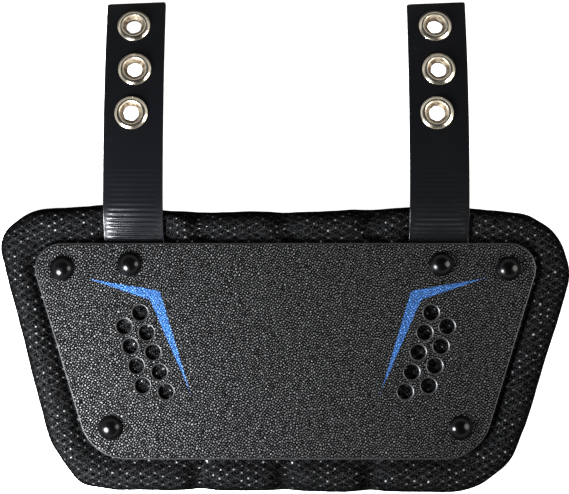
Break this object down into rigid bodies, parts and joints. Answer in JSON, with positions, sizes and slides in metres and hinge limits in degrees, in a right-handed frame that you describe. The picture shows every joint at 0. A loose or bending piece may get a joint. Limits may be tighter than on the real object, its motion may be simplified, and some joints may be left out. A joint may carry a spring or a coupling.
{
  "type": "football back plate",
  "caption": "Trapezoid vented hard plate riveted on a mesh-covered foam pad with a rolled border, hung from shoulder pads by ribbed, eyeleted straps.",
  "frame": {"origin": "middle of the footprint, on the surface under the pad's back", "axes": "+X to the right as the plate is read, +Y towards the strap tips, +Z out of the plate's face"},
  "size_m": [0.3065, 0.2662, 0.025],
  "materials": {
    "plate_plastic": "black moulded plastic with a pebble grain and blue accent stripes",
    "pad_mesh": "black spacer mesh cloth over foam",
    "strap_vinyl": "smooth semi-gloss flexible black vinyl",
    "grommet_nickel": "warm nickel plate, polished",
    "rivet_enamel": "gloss black enamel"
  },
  "bodies": {
    "root": {"pad": "pad_mesh", "plate": "plate_plastic", "strap_left": "strap_vinyl", "strap_right": "strap_vinyl", "grommet_left_tip": "grommet_nickel", "grommet_left_middle": "grommet_nickel", "grommet_left_low": "grommet_nickel", "grommet_right_tip": "grommet_nickel", "grommet_right_middle": "grommet_nickel", "grommet_right_low": "grommet_nickel", "rivet_left_corner": "rivet_enamel", "rivet_left_strap": "rivet_enamel", "rivet_left_bottom": "rivet_enamel", "rivet_right_corner": "rivet_enamel", "rivet_right_strap": "rivet_enamel", "rivet_right_bottom": "rivet_enamel"}
  },
  "joints": []
}
